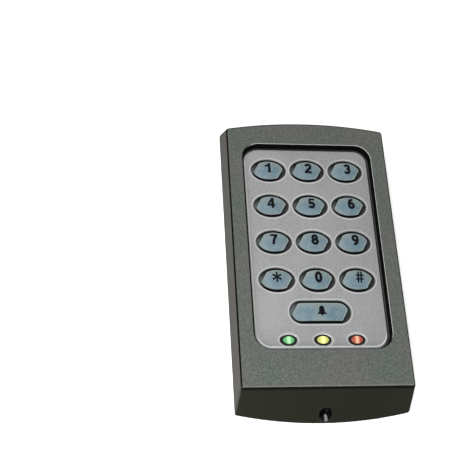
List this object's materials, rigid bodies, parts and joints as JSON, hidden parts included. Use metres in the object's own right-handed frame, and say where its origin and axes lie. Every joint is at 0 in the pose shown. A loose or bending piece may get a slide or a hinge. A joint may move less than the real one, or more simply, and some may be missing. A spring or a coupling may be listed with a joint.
{
  "type": "alarm keypad panel",
  "caption": "Wall-mounted alarm keypad: dark sloped cover, silver fascia in a recessed window, oval push keys, a long bell key and oval indicator lights.",
  "frame": {"origin": "centre of the back face's bounding box, on the mounting wall's plane", "axes": "+Z out of the front (the keys), +Y towards the top edge, +X to the right seen from the front; the part lies on its back"},
  "size_m": [0.076, 0.143, 0.0162],
  "materials": {
    "cover_plastic": "satin, fine grain, dark grey-green",
    "base_plastic": "matt black",
    "fascia_silver": "satin silver-grey with a fine metallic texture",
    "seal_rubber": "matt black",
    "black_plastic": "satin black",
    "key_silicone": "translucent pale blue-grey, soft sheen",
    "lens_green": "clear tinted green",
    "lens_yellow": "clear tinted yellow",
    "lens_red": "clear tinted red",
    "screw_steel": "bright zinc",
    "contact_gold": "bright",
    "mat_rubber": "translucent grey",
    "board_green": "green solder mask",
    "led_white": "white",
    "terminal_green": "green"
  },
  "bodies": {
    "housing": {"cover": "cover_plastic", "cover_screw": "screw_steel", "base": "base_plastic", "fascia": "fascia_silver", "fascia_seal": "seal_rubber", "lens_holder": "black_plastic", "lens_green": "lens_green", "lens_yellow": "lens_yellow", "lens_red": "lens_red", "circuit_board": "board_green", "board_screws": "screw_steel", "contact_pads": "contact_gold", "key_mat": "mat_rubber", "contact_pills": "seal_rubber", "backlight_leds": "led_white", "controller_chip": "black_plastic", "status_led_green": "led_white", "status_led_yellow": "led_white", "status_led_red": "led_white", "sounder": "black_plastic", "terminal_block": "terminal_green", "terminal_screws": "screw_steel", "screw_insert": "contact_gold"},
    "key_1": {"key_1": "key_silicone"},
    "key_2": {"key_2": "key_silicone"},
    "key_3": {"key_3": "key_silicone"},
    "key_4": {"key_4": "key_silicone"},
    "key_5": {"key_5": "key_silicone"},
    "key_6": {"key_6": "key_silicone"},
    "key_7": {"key_7": "key_silicone"},
    "key_8": {"key_8": "key_silicone"},
    "key_9": {"key_9": "key_silicone"},
    "key_star": {"key_star": "key_silicone"},
    "key_0": {"key_0": "key_silicone"},
    "key_hash": {"key_hash": "key_silicone"},
    "key_bell": {"key_bell": "key_silicone"}
  },
  "joints": [
    {"name": "press_1", "type": "slide", "parent": "housing", "child": "key_1", "axis": [0, 0, -1], "range_m": [0, 0.0012], "stiffness_N_per_m": 800, "springref_m": -0.0004},
    {"name": "press_2", "type": "slide", "parent": "housing", "child": "key_2", "axis": [0, 0, -1], "range_m": [0, 0.0012], "stiffness_N_per_m": 800, "springref_m": -0.0004},
    {"name": "press_3", "type": "slide", "parent": "housing", "child": "key_3", "axis": [0, 0, -1], "range_m": [0, 0.0012], "stiffness_N_per_m": 800, "springref_m": -0.0004},
    {"name": "press_4", "type": "slide", "parent": "housing", "child": "key_4", "axis": [0, 0, -1], "range_m": [0, 0.0012], "stiffness_N_per_m": 800, "springref_m": -0.0004},
    {"name": "press_5", "type": "slide", "parent": "housing", "child": "key_5", "axis": [0, 0, -1], "range_m": [0, 0.0012], "stiffness_N_per_m": 800, "springref_m": -0.0004},
    {"name": "press_6", "type": "slide", "parent": "housing", "child": "key_6", "axis": [0, 0, -1], "range_m": [0, 0.0012], "stiffness_N_per_m": 800, "springref_m": -0.0004},
    {"name": "press_7", "type": "slide", "parent": "housing", "child": "key_7", "axis": [0, 0, -1], "range_m": [0, 0.0012], "stiffness_N_per_m": 800, "springref_m": -0.0004},
    {"name": "press_8", "type": "slide", "parent": "housing", "child": "key_8", "axis": [0, 0, -1], "range_m": [0, 0.0012], "stiffness_N_per_m": 800, "springref_m": -0.0004},
    {"name": "press_9", "type": "slide", "parent": "housing", "child": "key_9", "axis": [0, 0, -1], "range_m": [0, 0.0012], "stiffness_N_per_m": 800, "springref_m": -0.0004},
    {"name": "press_star", "type": "slide", "parent": "housing", "child": "key_star", "axis": [0, 0, -1], "range_m": [0, 0.0012], "stiffness_N_per_m": 800, "springref_m": -0.0004},
    {"name": "press_0", "type": "slide", "parent": "housing", "child": "key_0", "axis": [0, 0, -1], "range_m": [0, 0.0012], "stiffness_N_per_m": 800, "springref_m": -0.0004},
    {"name": "press_hash", "type": "slide", "parent": "housing", "child": "key_hash", "axis": [0, 0, -1], "range_m": [0, 0.0012], "stiffness_N_per_m": 800, "springref_m": -0.0004},
    {"name": "press_bell", "type": "slide", "parent": "housing", "child": "key_bell", "axis": [0, 0, -1], "range_m": [0, 0.0012], "stiffness_N_per_m": 800, "springref_m": -0.0004}
  ]
}
